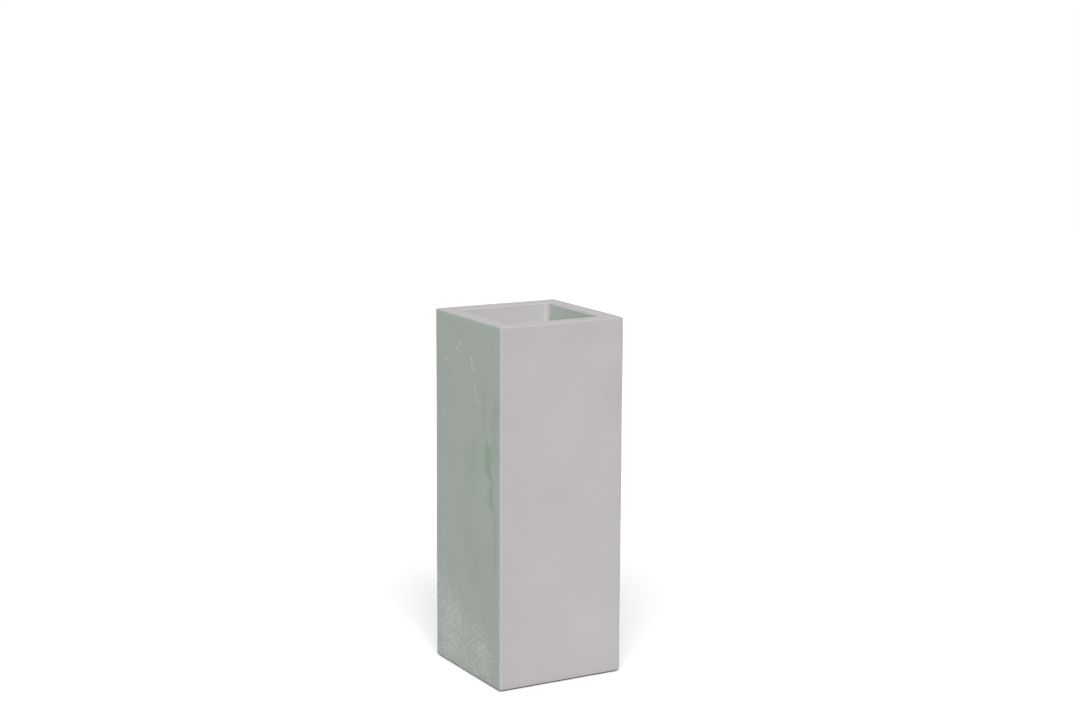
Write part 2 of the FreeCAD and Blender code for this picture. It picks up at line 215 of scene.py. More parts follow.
def start_piece(name):
    """An empty piece in edit mode, which rings and solids are then added to."""
    bpy.ops.object.select_all(action="DESELECT")
    mesh = bpy.data.meshes.new(name)
    piece = bpy.data.objects.new(name, mesh)
    bpy.context.scene.collection.objects.link(piece)
    bpy.context.view_layer.objects.active = piece
    piece.select_set(True)
    bpy.ops.object.mode_set(mode="EDIT")
    bpy.ops.mesh.select_mode(type="VERT")
    return piece


def square_ring(width, radius, level, depth=None):
    """Adds a level square or rectangle with rounded corners, as a ring of edges."""
    centre = (0.0, 0.0, level)
    bpy.ops.mesh.select_all(action="DESELECT")
    bpy.ops.mesh.primitive_plane_add(size=1.0, location=centre)
    bpy.ops.transform.resize(value=(width, depth or width, 1.0), center_override=centre)
    bpy.ops.mesh.bevel(offset=radius, segments=corner_steps, affect="VERTICES", clamp_overlap=False)
    bpy.ops.mesh.delete(type="ONLY_FACE")


def select_vertices(piece, wanted):
    """In edit mode, selects the vertices that pass the test, and what lies between them."""
    bpy.ops.mesh.select_all(action="DESELECT")
    shape = bmesh.from_edit_mesh(piece.data)
    for vertex in shape.verts:
        vertex.select = wanted(vertex)
    shape.select_flush_mode()
    bmesh.update_edit_mesh(piece.data)


def select_edges(piece, wanted):
    """In edit mode, selects the edges whose two ends pass the test."""
    bpy.ops.mesh.select_mode(type="EDGE")
    bpy.ops.mesh.select_all(action="DESELECT")
    shape = bmesh.from_edit_mesh(piece.data)
    for edge in shape.edges:
        edge.select = wanted(edge.verts[0].co, edge.verts[1].co)
    shape.select_flush_mode()
    bmesh.update_edit_mesh(piece.data)


def join_rings(piece, count, closed=False):
    """Bridges each ring to the next, and the last to the first, or caps the two ends."""
    lift = 1.0
    bpy.ops.mesh.select_mode(type="VERT")
    size = len(bmesh.from_edit_mesh(piece.data).verts) // count

    def select_rings(*rings):
        select_vertices(piece, lambda vertex: vertex.index // size in rings)

    for ring in range(count if closed else count - 1):
        # Two rings at one level would be bridged askew, so the second is lifted clear meanwhile.
        after = (ring + 1) % count
        select_rings(after)
        bpy.ops.transform.translate(value=(0.0, 0.0, lift))
        select_rings(ring, after)
        bpy.ops.mesh.bridge_edge_loops()
        select_rings(after)
        bpy.ops.transform.translate(value=(0.0, 0.0, -lift))
    if not closed:
        for end in (0, count - 1):
            select_rings(end)
            bpy.ops.mesh.edge_face_add()
    bpy.ops.mesh.select_all(action="SELECT")
    bpy.ops.mesh.normals_make_consistent(inside=False)


def end_piece(piece, crease=40.0):
    """Turns the faces outwards, leaves edit mode and smooths all but the sharp edges."""
    bpy.ops.mesh.select_all(action="SELECT")
    bpy.ops.mesh.normals_make_consistent(inside=False)
    bpy.ops.object.mode_set(mode="OBJECT")
    bpy.ops.object.shade_smooth_by_angle(angle=math.radians(crease))
    return piece


def apply_modifier(piece, kind, **settings):
    """Adds a modifier with these settings to the piece and applies it."""
    modifier = piece.modifiers.new(kind.lower(), kind)
    for name, setting in settings.items():
        setattr(modifier, name, setting)
    bpy.ops.object.select_all(action="DESELECT")
    bpy.context.view_layer.objects.active = piece
    piece.select_set(True)
    bpy.ops.object.modifier_apply(modifier=modifier.name)


def dress(piece, material):
    """Gives the piece its one material."""
    piece.data.materials.clear()
    piece.data.materials.append(material)


def seat(piece, body, slot, material, *nodes):
    """Rides the finished piece on its body and puts it in the place of its plain solids."""
    dress(piece, material)
    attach(piece, body)
    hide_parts(*nodes)


shell_low, shell_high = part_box("outer_shell")
side = shell_high.x - shell_low.x
rim_top = shell_high.z
shell_foot = shell_low.z
wall = 0.004
rim_width = 0.039
rim_thickness = 0.007
rim_underside = rim_top - rim_thickness
mouth = side - 2 * rim_width
inside = side - 2 * wall
root_bevel = 0.006
corner_radius = 0.004
inside_radius = 0.008
mouth_radius = 0.012
rim_outer_round = 0.0032
rim_inner_round = 0.0058
foot_round = 0.0014

shell = start_piece("planter_shell")
square_ring(side, corner_radius, shell_foot)
square_ring(side, corner_radius, rim_top)
square_ring(mouth, mouth_radius, rim_top)
square_ring(mouth, mouth_radius, rim_underside)
square_ring(inside - 2 * root_bevel, inside_radius, rim_underside)
square_ring(inside, inside_radius, rim_underside - root_bevel)
square_ring(inside, inside_radius, shell_foot)
join_rings(shell, 7, closed=True)


def round_ring(piece, level, ring_side, ring_radius, bevel, steps):
    """Rounds over the edges of the one rounded square that has this size, at this level."""
    # Halfway round a corner, a rounded square is 0.29 of its radius nearer to the axis.
    margin = 1e-4
    least = ring_side / 2 - 0.3 * ring_radius - margin
    most = ring_side / 2 + margin
    select_edges(piece, lambda *ends: all(
        abs(end.z - level) < near and least < max(abs(end.x), abs(end.y)) < most for end in ends))
    bpy.ops.mesh.bevel(offset=bevel, segments=steps, affect="EDGES", clamp_overlap=False)


round_ring(shell, rim_top, side, corner_radius, rim_outer_round, 6)
round_ring(shell, rim_top, mouth, mouth_radius, rim_inner_round, 7)
round_ring(shell, shell_foot, side, corner_radius, foot_round, 3)

# The long faces are cut into cells of about 12 mm, for the moulding's slow waves.
cell = 0.0125
long_edge = 0.15
tall_edge = 0.5
select_edges(shell, lambda one, other: abs(one.z - other.z) < near and (one - other).length > long_edge)
bpy.ops.mesh.subdivide(number_cuts=round(side / cell))
select_edges(shell, lambda one, other: abs(one.z - other.z) > tall_edge)
bpy.ops.mesh.subdivide(number_cuts=round(rim_top / cell))
end_piece(shell, 50.0)


def is_outer(place):
    """Whether a place lies on the outer walls or on the top of the rim."""
    skin = 0.001
    return max(abs(place.x), abs(place.y)) > inside / 2 + skin or place.z > rim_top - skin


# The waves draw the outer faces in by half a millimetre or so, as hand-laid laminate shrinks.
waves = shell.vertex_groups.new(name="outer_face")
waves.add([vertex.index for vertex in shell.data.vertices if is_outer(vertex.co)], 1.0, "REPLACE")
ripple = bpy.data.textures.new("laminate_waves", "CLOUDS")
ripple.noise_scale = 0.16
ripple.noise_depth = 1
apply_modifier(shell, "DISPLACE", texture=ripple, texture_coords="LOCAL", direction="NORMAL",
               vertex_group="outer_face", mid_level=0.9, strength=0.0011)

grey_gelcoat = (0.512, 0.489, 0.495, 1.0)
# A green used as a painted shade tint on faces that look left, and as algae on the back and right.
shade_and_algae_green = (0.454, 0.511, 0.465, 1.0)
# The drip's green, also laid on the pocket's left-facing wall below the rim as painted shade.
drip_and_shade_green = (0.330, 0.434, 0.328, 1.0)
dust_pale = (0.662, 0.668, 0.648, 1.0)
# Colours for painted shade on the front and for its paler patches.
front_shadowed = (0.480, 0.460, 0.468, 1.0)
front_paler = (0.545, 0.520, 0.512, 1.0)


def gelcoat(name, marks, painted_light_scale=1.0):
    """Matt grey gelcoat, mottled and finely grained, with the piece's own marks over it.

    Its colours are all scaled by a given factor, painted light where it is above 1. Faces that look up
    are painted dimmer, as painted shade.
    """
    finish = Finish(bpy.data.materials.new(name))
    point = finish.point()
    broad = finish.noise(point, 0.13, detail=3.0)
    middle = finish.noise(point, 0.030, detail=4.0, roughness=0.6)
    grain = finish.noise(point, 0.0016, detail=2.0, roughness=0.7)
    # Painted shade: faces that look up are made up to 16 percent dimmer.
    painted_top_shade = finish.ease(finish.facing()[2], 0.45, 0.95) * 0.16
    # The scale at the start of the tone is painted light where it is above 1.
    tone = painted_light_scale + (broad - 0.5) * 0.075 + (middle - 0.5) * 0.03 + (grain - 0.5) * 0.10 - painted_top_shade
    colour, dull = marks(finish, point)
    toned = finish.node("ShaderNodeVectorMath", {"operation": "SCALE"}, {0: colour, "Scale": tone})
    peel = finish.noise(point, 0.0045, detail=2.0)
    relief = finish.bump(peel * 0.6 + grain * 0.4, 0.00035)
    shader = finish.node("ShaderNodeBsdfPrincipled", inputs={
        "Base Color": toned, "Roughness": 0.70 + (middle - 0.5) * 0.2 + dull * 0.2,
        "Specular IOR Level": 0.22, "Normal": relief})
    return finish.surface(shader)


def patches(finish, across, up, places):
    """Soft oval patches added up. Each has a centre, a half width, a half height and a strength."""
    total = 0.0
    for centre_across, centre_up, wide, tall, strength in places:
        beside = (across - centre_across) / wide
        above = (up - centre_up) / tall
        total = total + finish.ease(beside * beside + above * above, 1.0, 0.0) * strength
    return total


# Where the marks lie: on the left side as y and z, on the front as x and z.
seeped_places = (
    (-0.136, 0.617, 0.020, 0.040, 0.35), (-0.122, 0.580, 0.022, 0.045, 0.30),
    (-0.124, 0.510, 0.034, 0.060, 0.42), (-0.106, 0.421, 0.022, 0.030, 0.40),
    (-0.036, 0.500, 0.066, 0.055, 0.34), (-0.012, 0.435, 0.045, 0.060, 0.24),
    (-0.014, 0.304, 0.042, 0.065, 0.24), (-0.036, 0.235, 0.042, 0.060, 0.24))
dust_places = (
    (0.072, 0.090, 0.065, 0.095, 0.24), (-0.066, 0.098, 0.040, 0.050, 0.16),
    (-0.074, 0.055, 0.042, 0.045, 0.14))
dust_free_places = ((0.139, 0.041, 0.016, 0.020, 1.0),)
speck_places = (
    (0.037, 0.723, 0.024, 0.028, 1.0), (-0.025, 0.703, 0.016, 0.022, 0.9),
    (0.100, 0.697, 0.014, 0.014, 0.8), (0.054, 0.656, 0.016, 0.018, 0.8),
    (-0.036, 0.648, 0.012, 0.020, 0.8), (-0.048, 0.625, 0.010, 0.014, 0.8))
# Patches of painted shade on the front, then paler patches.
shadowed_places = ((-0.010, 0.431, 0.060, 0.070, 0.8), (0.130, 0.638, 0.030, 0.080, 0.8))
paler_places = ((0.080, 0.115, 0.090, 0.100, 0.9), (0.010, 0.590, 0.080, 0.120, 0.5))


def shell_marks(finish, point):
    """Painted green shade and algae, drips, dust, and painted shade and paler patches on the front, each
    where it lies on the shell.
    """
    x, y, z = finish.parts(point)
    facing_x, facing_y = finish.facing()[:2]
    left = finish.ease(facing_x, -0.70, -0.98)
    back = finish.ease(facing_y, 0.35, 0.95)
    right = finish.ease(facing_x, 0.35, 0.95)
    front = finish.ease(facing_y, -0.60, -0.98)
    ragged = finish.noise(point, 0.022, detail=4.0, roughness=0.65) - 0.5
    wide_ragged = finish.noise(point, 0.08, detail=2.0) - 0.5
    fleck = finish.noise(point, 0.0050, detail=1.0, roughness=0.6) - 0.5

    def stippled(density, contrast):
        """Breaks a mark up into fine flecks, which stand closer where it is denser."""
        return finish.ease(density + fleck * contrast, 0.0, 1.0) * finish.ease(density, 0.0, 0.10)

    # Painted green shade tint, even on the faces that look left; a thinner, patchy coat of algae on the
    # back and the right.
    shade_tint_and_algae = left + back * (0.55 + wide_ragged * 1.2) + right * (0.16 + wide_ragged * 0.5)
    colour = finish.mix(shade_tint_and_algae, grey_gelcoat, shade_and_algae_green)

    # The drip wanders down the left side towards the front edge, thickest at two thirds up.
    run = (0.074 + finish.ease(z, 0.575, 0.525) * 0.021 + finish.ease(z, 0.480, 0.455) * 0.018
           + finish.ease(z, 0.410, 0.380) * 0.015 - finish.ease(z, 0.280, 0.200) * 0.015)
    half_width = 0.011 + finish.ease(z, 0.56, 0.52) * 0.006 - finish.ease(z, 0.470, 0.430) * 0.007
    beside = abs(y + run + ragged * 0.030) / half_width
    strength = (finish.ease(z, 0.690, 0.640) * 0.30 + finish.ease(z, 0.560, 0.520) * 0.34
                - finish.ease(z, 0.485, 0.440) * 0.20 - finish.ease(z, 0.300, 0.175) * 0.52)
    drip = finish.ease(beside, 1.3, 0.3) * strength
    seeped = patches(finish, y, z, seeped_places)
    wet = drip + seeped * (0.9 + ragged * 4.0)
    colour = finish.mix(left * stippled(wet, 1.2), colour, drip_and_shade_green)

    # Pale dust, splashed in fine flecks against the foot of the left side.
    slope = z - 0.165 - y * 0.44 + ragged * 0.10
    fading = finish.ease(slope, 0.020, -0.075) * finish.ease(y, -0.145, -0.095)
    cores = patches(finish, y, z, dust_places)
    bare = patches(finish, y, z, dust_free_places)
    dusty = left * stippled(fading * (0.28 + cores) * (1.0 - bare), 2.6)
    splashed = finish.ease(z + ragged * 0.14, 0.17, 0.00)
    other_dust = (back + right) * splashed * (0.14 + fleck * 0.40)
    colour = finish.mix(dusty + other_dust, colour, dust_pale)

    # Tiny pale specks high on the left side.
    flecked = patches(finish, y, z, speck_places)
    specks = left * finish.ease(flecked * 0.10 + fleck, 0.15, 0.20) * finish.ease(flecked, 0.0, 0.3)
    colour = finish.mix(specks, colour, dust_pale)

    # Painted shade on the lit front: dimmer under the rim and beside the left edge. Some patches are
    # paler.
    painted_front_shade = (finish.ease(z, 0.735, 0.765) * 0.55 + finish.ease(x, -0.075, -0.120) * 0.5
              + patches(finish, x, z, shadowed_places))
    paler = patches(finish, x, z, paler_places)
    colour = finish.mix(front * painted_front_shade * 0.5, colour, front_shadowed)
    colour = finish.mix(front * paler * 0.5, colour, front_paler)
    return colour, shade_tint_and_algae * 0.5 + dusty


weathered_gelcoat = gelcoat("weathered_gelcoat", shell_marks)
seat(shell, "planter", "painted_grp", weathered_gelcoat, "outer_shell")

# ---------------------------------------------------------------------------------------------
# Inner pocket
# The planting pocket is a second fiberglass moulding, bonded up under the rim by its flange.
# Its walls draw in slightly to a ledge at the foot. Soil and damp have stained its lower part.
# ---------------------------------------------------------------------------------------------

pocket_low, pocket_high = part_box("inner_pocket")
pocket_foot = pocket_low.z
pocket_top = pocket_high.z
flange_side = pocket_high.x - pocket_low.x
pocket_skin = 0.003
pocket_draft = math.tan(math.radians(1.0))
ledge_thickness = 0.004
ledge_top = pocket_foot + ledge_thickness
ledge_width = 0.018
ledge_round = 0.0012
ledge_root_round = 0.0010
flange_corner = 0.032


def pocket_side(level):
    """The inner side of the drafted pocket at a level."""
    return mouth - 2 * (pocket_top - level) * pocket_draft


ledge_mouth = pocket_side(pocket_foot) - 2 * ledge_width
outer_corner = mouth_radius + pocket_skin
flange_underside = pocket_top - pocket_skin
pocket = start_piece("planting_pocket")
square_ring(flange_side, flange_corner, pocket_top)
square_ring(mouth, mouth_radius, pocket_top)
square_ring(pocket_side(ledge_top), mouth_radius, ledge_top)
square_ring(ledge_mouth, mouth_radius, ledge_top)
square_ring(ledge_mouth, mouth_radius, pocket_foot)
square_ring(pocket_side(pocket_foot) + 2 * pocket_skin, outer_corner, pocket_foot)
square_ring(pocket_side(flange_underside) + 2 * pocket_skin, outer_corner, flange_underside)
square_ring(flange_side, flange_corner, flange_underside)
join_rings(pocket, 8, closed=True)
round_ring(pocket, ledge_top, ledge_mouth, mouth_radius, ledge_round, 3)
round_ring(pocket, pocket_foot, ledge_mouth, mouth_radius, ledge_round, 3)
round_ring(pocket, ledge_top, pocket_side(ledge_top), mouth_radius, ledge_root_round, 3)
end_piece(pocket, 50.0)

soil_brown = (0.205, 0.185, 0.145, 1.0)
lime_pale = (0.60, 0.585, 0.55, 1.0)
soil_level = 0.688


def pocket_marks(finish, point):
    """The wall that faces left gets a painted green shade tint, greener below the rim as painted shade,
    and soil has stained the lower part.
    """
    z = finish.parts(point)[2]
    facing_x = finish.facing()[0]
    ragged = finish.noise(point, 0.030, detail=4.0, roughness=0.6) - 0.5
    # Painted green shade tint on the wall that faces left.
    shade_tint_and_algae = finish.ease(facing_x, -0.80, -0.99)
    colour = finish.mix(shade_tint_and_algae, grey_gelcoat, shade_and_algae_green)
    # Painted shade: the wall that faces left turns greener below the rim.
    painted_deeper_shade = shade_tint_and_algae * finish.ease(z, 0.795, 0.755) * (0.40 + ragged)
    colour = finish.mix(painted_deeper_shade, colour, drip_and_shade_green)
    stain = finish.ease(z + ragged * 0.05, 0.700, 0.540)
    colour = finish.mix(stain * 0.65, colour, soil_brown)
    tide = finish.ease(abs(z - soil_level + ragged * 0.012), 0.0045, 0.0005)
    colour = finish.mix(tide * 0.35, colour, lime_pale)
    return colour, stain * 0.8


# Painted light: the pocket's gelcoat is made ten percent paler than the shell's, to make up for the
# shade inside the pocket.
pocket_gelcoat_painted_light = gelcoat("pocket_gelcoat_painted_light", pocket_marks, painted_light_scale=1.10)
seat(pocket, "planter", "painted_grp", pocket_gelcoat_painted_light, "inner_pocket")

# ---------------------------------------------------------------------------------------------
# Pocket spacers
# Four plywood packers, bonded between the two skins near the foot of the pocket so that wet
# soil can't swing it. They lie out of sight inside the column.
# ---------------------------------------------------------------------------------------------

birch_dark = (0.35, 0.22, 0.115, 1.0)
birch_pale = (0.60, 0.43, 0.25, 1.0)
birch_grain = (0.26, 0.155, 0.075, 1.0)
edge_pale = (0.50, 0.35, 0.20, 1.0)
edge_dark = (0.21, 0.125, 0.062, 1.0)
edge_pores = (0.15, 0.088, 0.045, 1.0)
damp_brown = (0.13, 0.105, 0.07, 1.0)
veneer_thickness = 0.0014


def plywood(name, damp_below):
    """Birch plywood: pale grained faces, light and dark veneers at its edges, damp up to a level."""
    finish = Finish(bpy.data.materials.new(name))
    point = finish.point()
    z = finish.parts(point)[2]
    facing_z = finish.facing()[2]
    long_grain = finish.noise(finish.stretched(point, 14.0, 1.0, 14.0), 0.11, detail=5.0, roughness=0.6)
    fine_grain = finish.noise(finish.stretched(point, 9.0, 1.0, 9.0), 0.016, detail=3.0)
    face = finish.mix(long_grain, birch_dark, birch_pale)
    face = finish.mix(fine_grain * 0.35, face, birch_grain)
    layer = (z + (long_grain - 0.5) * 0.0006) / (2 * veneer_thickness)
    swing = abs(layer.maths("FRACT", layer) - 0.5) * 2.0
    ply = finish.ease(swing, 0.42, 0.58)
    edge = finish.mix(ply, edge_pale, edge_dark)
    end_grain = finish.noise(finish.stretched(point, 1.0, 1.0, 0.35), 0.0011, detail=2.0)
    edge = finish.mix((end_grain - 0.35) * 0.6, edge, edge_pores)
    flat = finish.ease(abs(facing_z), 0.6, 0.8)
    colour = finish.mix(flat, edge, face)
    damp = finish.ease(z + (long_grain - 0.5) * 0.02, damp_below, damp_below - 0.012)
    colour = finish.mix(damp * 0.30, colour, damp_brown)
    shader = finish.node("ShaderNodeBsdfPrincipled", inputs={
        "Base Color": colour, "Roughness": 0.72 + (fine_grain - 0.5) * 0.3,
        "Specular IOR Level": 0.3, "Normal": finish.bump(fine_grain * 0.6 + end_grain * 0.4, 0.0003)})
    return finish.surface(shader)


spacer_damp_below = 0.5
spacer_plywood = plywood("spacer_plywood", spacer_damp_below)
for spacer_side in ("front", "right", "back", "left"):
    dress(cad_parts[f"pocket_spacer_{spacer_side}"], spacer_plywood)

# ---------------------------------------------------------------------------------------------
# Insert shelf
# A loose plate of raw chopped-strand fiberglass that lies on the pocket's ledge. It has a slot
# for the fingers that lift it and four drain holes, all with eased edges.
# ---------------------------------------------------------------------------------------------

resin_dark = (0.245, 0.270, 0.215, 1.0)
resin_pale = (0.395, 0.410, 0.345, 1.0)
glass_strand = (0.56, 0.575, 0.52, 1.0)
wet_soil = (0.125, 0.105, 0.075, 1.0)
strand_turns = (0.25, 1.05, 1.80, 2.55)


def chopped_strand(name, soil):
    """Raw laminate: greenish resin over a mat of short glass strands that lie every way."""
    finish = Finish(bpy.data.materials.new(name))
    point = finish.point()
    strands = None
    for turn in strand_turns:
        drawn = finish.stretched(point, 1.0, 17.0, 17.0, turn=(0.0, 0.0, turn))
        band = finish.noise(drawn, 0.036, detail=1.0)
        strand = finish.ease(abs(band - 0.5), 0.035, 0.008)
        strands = strand if strands is None else strands.maths("MAXIMUM", strands, strand)
    pool = finish.noise(point, 0.028, detail=3.0)
    resin = finish.mix(pool, resin_dark, resin_pale)
    colour = finish.mix(strands * 0.55, resin, glass_strand)
    dirt = finish.ease(finish.noise(point, 0.05, detail=5.0, roughness=0.65), 0.44, 0.66)
    colour = finish.mix(dirt * soil, colour, wet_soil)
    weave = finish.bump(strands * 0.5 + pool * 0.5, 0.0006)
    shader = finish.node("ShaderNodeBsdfPrincipled", inputs={
        "Base Color": colour, "Roughness": 0.46 + dirt * 0.25 + (pool - 0.5) * 0.25,
        "Specular IOR Level": 0.45, "Normal": weave})
    return finish.surface(shader)


def turned_piece(name, outline, centre, closed, sides=48):
    """A piece turned about an upright axis: a circle for each radius and level of its outline."""
    piece = start_piece(name)
    for radius, level in outline:
        bpy.ops.mesh.select_all(action="DESELECT")
        bpy.ops.mesh.primitive_circle_add(vertices=sides, radius=radius,
                                          location=(centre[0], centre[1], level))
    join_rings(piece, len(outline), closed=closed)
    return piece


def cut_out(piece, cutter):
    """Cuts the cutter's shape out of the piece, and throws the cutter away."""
    apply_modifier(piece, "BOOLEAN", object=cutter, operation="DIFFERENCE", solver="EXACT")
    bpy.data.objects.remove(cutter)


shelf_low, shelf_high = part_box("insert_shelf")
shelf_side = shelf_high.x - shelf_low.x
shelf_foot = shelf_low.z
shelf_top = shelf_high.z
shelf_bevel = 0.002
eased_edge = 0.0009
shelf = start_piece("lift_out_shelf")
square_ring(shelf_side - 2 * shelf_bevel, mouth_radius - shelf_bevel, shelf_foot)
square_ring(shelf_side, mouth_radius, shelf_foot + shelf_bevel)
square_ring(shelf_side, mouth_radius, shelf_top - eased_edge)
square_ring(shelf_side - 2 * eased_edge, mouth_radius - eased_edge, shelf_top)
join_rings(shelf, 4)
end_piece(shelf)

# Each cutter flares past both faces, so that the edges of its hole are eased.
slot_length = 0.090
slot_width = 0.028
slot_radius = 0.012
drain_radius = 0.008
drain_offset = 0.070
past = 0.001
flare = eased_edge + past
through = ((flare, shelf_foot - past), (0.0, shelf_foot + eased_edge),
           (0.0, shelf_top - eased_edge), (flare, shelf_top + past))
slot_cutter = start_piece("slot_cutter")
for grow, level in through:
    square_ring(slot_length + 2 * grow, slot_radius + grow, level, depth=slot_width + 2 * grow)
join_rings(slot_cutter, len(through))
cut_out(shelf, end_piece(slot_cutter))
for toward_x, toward_y in ((1, 1), (-1, 1), (-1, -1), (1, -1)):
    centre = (toward_x * drain_offset, toward_y * drain_offset)
    outline = [(drain_radius + grow, level) for grow, level in through]
    cut_out(shelf, end_piece(turned_piece("drain_cutter", outline, centre, closed=False)))
bpy.ops.object.shade_smooth_by_angle(angle=math.radians(35.0))
seat(shelf, "shelf", "raw_grp", chopped_strand("shelf_laminate", 0.75), "insert_shelf")

# ---------------------------------------------------------------------------------------------
# Floor of the column and its bond
# The floor is a flat raw laminate panel set a little above the shell's lower edge. A thick ring
# of bonding paste, pressed into the corner by hand, ties it to the walls.
# ---------------------------------------------------------------------------------------------

dress(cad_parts["base_panel"], chopped_strand("floor_laminate", 0.35))

paste_dark = (0.36, 0.345, 0.31, 1.0)
paste_pale = (0.49, 0.475, 0.435, 1.0)


def bonding_paste(name):
    """Stiff grey-beige filled resin with the drag marks of the spreader."""
    finish = Finish(bpy.data.materials.new(name))
    point = finish.point()
    lumps = finish.noise(point, 0.018, detail=4.0, roughness=0.6)
    drag = finish.noise(finish.stretched(point, 1.0, 1.0, 9.0), 0.02, detail=2.0)
    colour = finish.mix(lumps, paste_dark, paste_pale)
    shader = finish.node("ShaderNodeBsdfPrincipled", inputs={
        "Base Color": colour, "Roughness": 0.6 + lumps * 0.25, "Specular IOR Level": 0.35,
        "Normal": finish.bump(lumps * 0.7 + drag * 0.3, 0.0012)})
    return finish.surface(shader)


dress(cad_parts["base_bond_fillet"], bonding_paste("bonding_paste"))

# ---------------------------------------------------------------------------------------------
# Corner blocks
# Four plywood blocks bonded up under the floor, each sawn across its outer corner to clear the
# shell's inside radius. The screws of the feet bite into them.
# ---------------------------------------------------------------------------------------------

corners = {"back_right": (1, 1), "back_left": (-1, 1), "front_left": (-1, -1), "front_right": (1, -1)}
corner_cut = 0.009
arris = 0.0006
block_damp_below = 0.030
block_plywood = plywood("block_plywood", block_damp_below)
for corner, (toward_x, toward_y) in corners.items():
    block_low, block_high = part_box(f"corner_block_{corner}")
    middle = (block_low + block_high) / 2
    size = block_high - block_low
    block = start_piece(f"plywood_block_{corner}")
    bpy.ops.mesh.primitive_cube_add(size=1.0, location=middle)
    bpy.ops.transform.resize(value=size, center_override=middle)
    outward_x = middle.x + toward_x * (size.x / 2 - corner_cut / 2)
    outward_y = middle.y + toward_y * (size.y / 2 - corner_cut / 2)
    bpy.ops.mesh.bisect(plane_co=(outward_x, outward_y, middle.z), plane_no=(toward_x, toward_y, 0.0),
                        clear_outer=True, use_fill=True)
    bpy.ops.mesh.select_all(action="SELECT")
    bpy.ops.mesh.bevel(offset=arris, segments=2, affect="EDGES")
    end_piece(block)
    seat(block, "planter", "plywood", block_plywood, f"corner_block_{corner}")

# ---------------------------------------------------------------------------------------------
# Rubber feet
# Four round black rubber feet, slightly tapered, with a recess below that hides the screw. Their
# treads are scuffed grey where they stand on the ground.
# ---------------------------------------------------------------------------------------------


def rounded_corner(radius, level, curve, start, steps=4):
    """Outline points a quarter of the way round a centre, from a start angle in quarters."""
    angles = [(start + step / steps) * math.pi / 2 for step in range(steps + 1)]
    return [(radius + curve * math.cos(angle), level + curve * math.sin(angle)) for angle in angles]


rubber_bloom = (0.085, 0.083, 0.080, 1.0)
rubber_scuff = (0.17, 0.165, 0.155, 1.0)


def moulded_rubber(name, base, scuffed_below):
    """Black rubber, dusty in its grain, scuffed grey up to a level."""
    finish = Finish(bpy.data.materials.new(name))
    point = finish.point()
    z = finish.parts(point)[2]
    bloom = finish.noise(point, 0.012, detail=4.0, roughness=0.6)
    grain = finish.noise(point, 0.0012, detail=2.0)
    colour = finish.mix(bloom * 0.5, base, rubber_bloom)
    scuff = finish.ease(z + (bloom - 0.5) * 0.003, scuffed_below, scuffed_below - 0.002)
    colour = finish.mix(scuff * 0.7, colour, rubber_scuff)
    shader = finish.node("ShaderNodeBsdfPrincipled", inputs={
        "Base Color": colour, "Roughness": 0.68 + (bloom - 0.5) * 0.3 + scuff * 0.15,
        "Specular IOR Level": 0.4, "Normal": finish.bump(grain, 0.0002)})
    return finish.surface(shader)


foot_black = (0.024, 0.024, 0.025, 1.0)
foot_scuffed_below = 0.0015
foot_rubber = moulded_rubber("foot_rubber", foot_black, foot_scuffed_below)
tread_radius = 0.0175
tread_round = 0.0018
shoulder_round = 0.0010
foot_hole = 0.00275
recess_radius = 0.008
recess_roof = 0.008
recess_lead_up = 0.0012
recess_lead_out = 0.0008
for corner in corners:
    foot_low, foot_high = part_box(f"rubber_foot_{corner}")
    centre = ((foot_low.x + foot_high.x) / 2, (foot_low.y + foot_high.y) / 2)
    foot_radius = (foot_high.x - foot_low.x) / 2
    foot_top = foot_high.z
    outline = [(recess_radius, recess_roof), (recess_radius, recess_lead_up)]
    outline += [(recess_radius + recess_lead_out, 0.0)]
    outline += rounded_corner(tread_radius - tread_round, tread_round, tread_round, -1.0)
    outline += rounded_corner(foot_radius - shoulder_round, foot_top - shoulder_round,
                              shoulder_round, 0.0)
    outline += [(foot_hole, foot_top), (foot_hole, recess_roof)]
    foot = turned_piece(f"foot_{corner}", outline, centre, closed=True)
    end_piece(foot, 35.0)
    seat(foot, "planter", "foot_rubber", foot_rubber, f"rubber_foot_{corner}")

# ---------------------------------------------------------------------------------------------
# Foot screws and washers
# A stainless flat washer and a pan head screw with a cross recess fix each foot. The heads sit
# up inside the feet, clear of the ground.
# ---------------------------------------------------------------------------------------------

steel_dull = (0.50, 0.49, 0.47, 1.0)
steel_bright = (0.66, 0.66, 0.65, 1.0)


def stainless_steel(name):
    """Turned stainless steel, lightly water-marked."""
    finish = Finish(bpy.data.materials.new(name))
    point = finish.point()
    marks = finish.noise(point, 0.004, detail=4.0, roughness=0.6)
    lines = finish.noise(finish.stretched(point, 1.0, 1.0, 14.0), 0.0016, detail=2.0)
    colour = finish.mix(marks, steel_dull, steel_bright)
    shader = finish.node("ShaderNodeBsdfPrincipled", inputs={
        "Base Color": colour, "Metallic": 1.0, "Roughness": 0.24 + marks * 0.22,
        "Normal": finish.bump(lines, 0.00005)})
    return finish.surface(shader)


